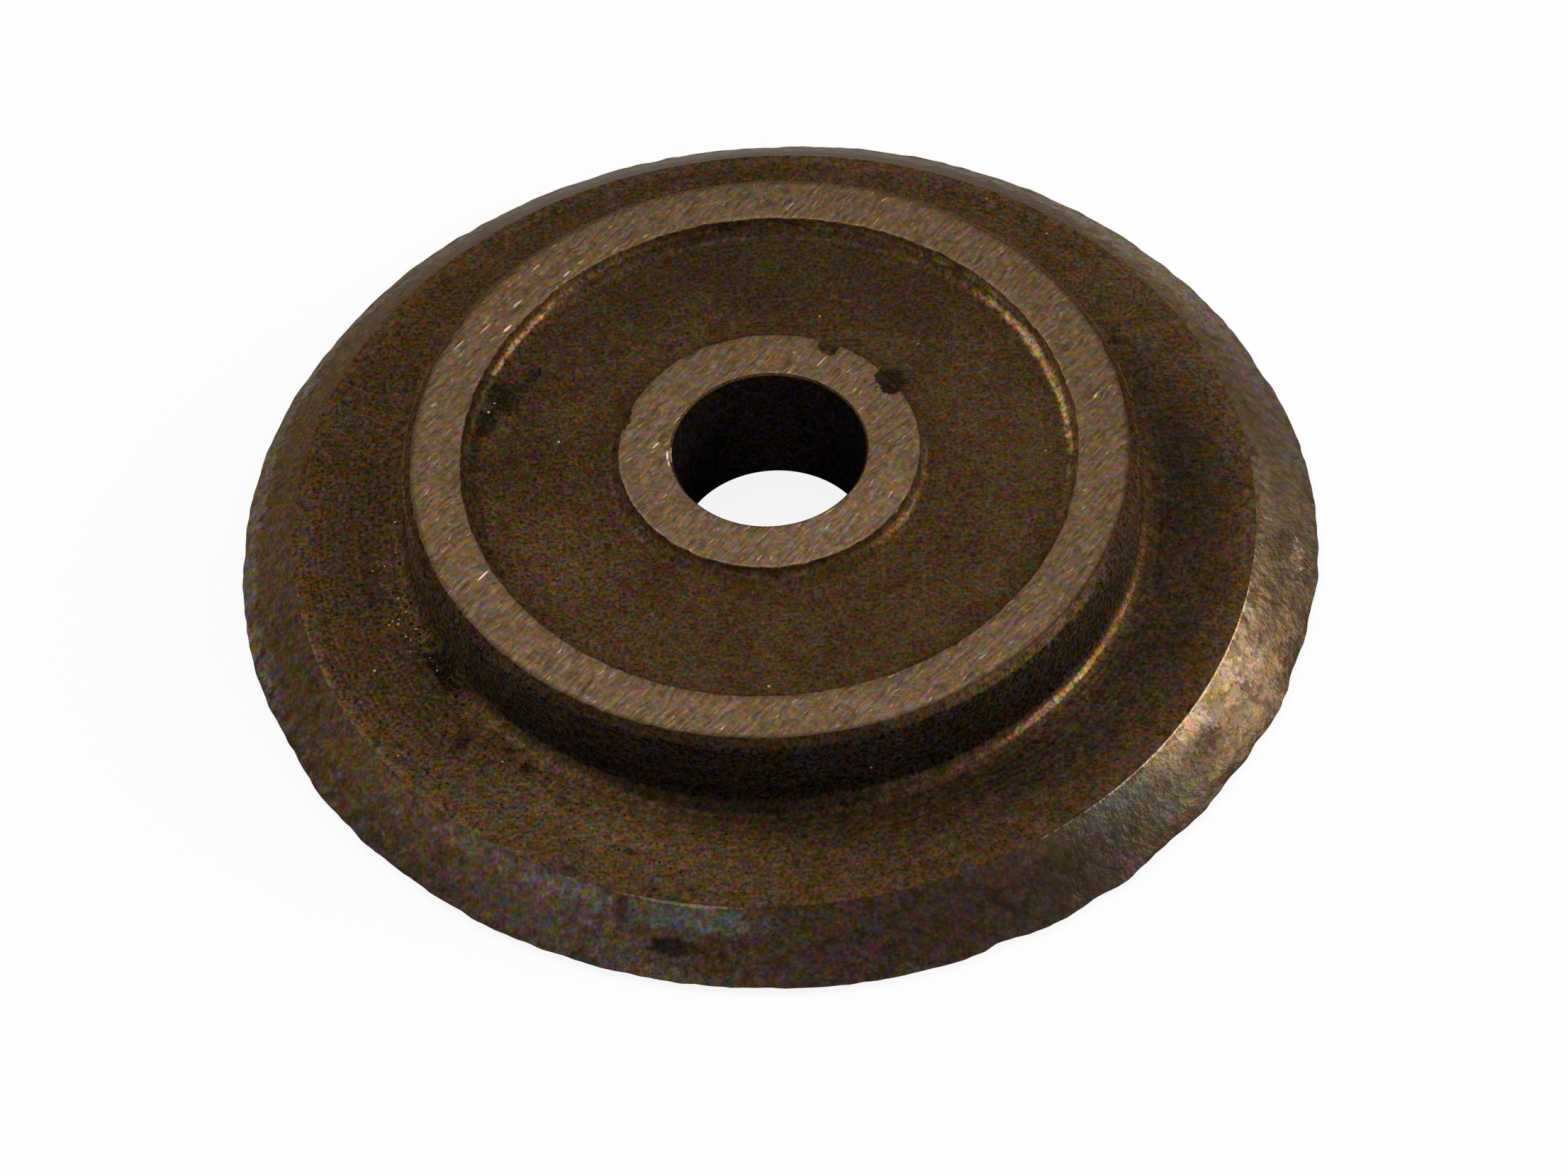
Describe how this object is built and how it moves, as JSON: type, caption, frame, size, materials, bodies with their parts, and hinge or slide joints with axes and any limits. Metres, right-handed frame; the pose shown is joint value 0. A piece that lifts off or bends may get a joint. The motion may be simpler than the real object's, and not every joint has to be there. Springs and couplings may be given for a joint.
{
  "type": "cutting blade",
  "caption": "Round cutting blade with a bevelled rim, a flat underside and a stepped hub with a recessed top and a through bore.",
  "frame": {"origin": "centre of the flat underside, on the bore axis", "axes": "+Z along the bore axis, out of the stepped side of the hub"},
  "size_m": [0.05, 0.05, 0.0071],
  "materials": {
    "blade_steel": "dark brown-black heat-treated steel with ground bright hub faces and a honed bevel"
  },
  "bodies": {
    "root": {"cutting_blade": "blade_steel"}
  },
  "joints": []
}
